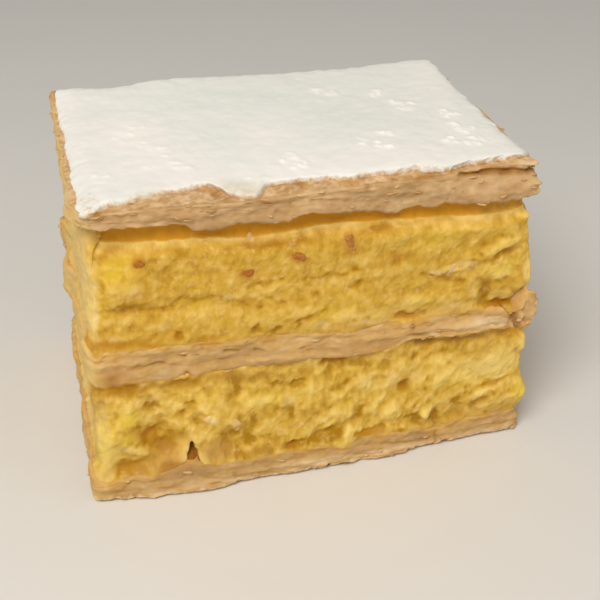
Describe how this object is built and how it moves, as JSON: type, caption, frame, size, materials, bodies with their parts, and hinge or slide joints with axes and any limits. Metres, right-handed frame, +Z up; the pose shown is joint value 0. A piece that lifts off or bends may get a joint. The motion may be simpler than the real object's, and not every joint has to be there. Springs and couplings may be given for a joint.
{
  "type": "mille feuille slice",
  "caption": "Rectangular slice of baked puff pastry sheets and thick set custard in layers, topped with icing sugar.",
  "frame": {"origin": "middle of the foot of the slice's bounding box, on the surface it stands on", "axes": "+X along the cut front to the right, +Y from the cut front to the back, +Z up"},
  "size_m": [0.0948, 0.066, 0.0652],
  "materials": {
    "baked_pastry": "dry flaky baked puff pastry, pale gold with browner leaf edges",
    "set_custard": "moist set vanilla custard with a torn, softly glossy cut face",
    "icing_sugar": "matt, slightly clumped powdered sugar"
  },
  "bodies": {
    "root": {"pastry_base": "baked_pastry", "custard_lower": "set_custard", "pastry_middle": "baked_pastry", "custard_upper": "set_custard", "pastry_top": "baked_pastry", "icing_sugar": "icing_sugar"}
  },
  "joints": []
}
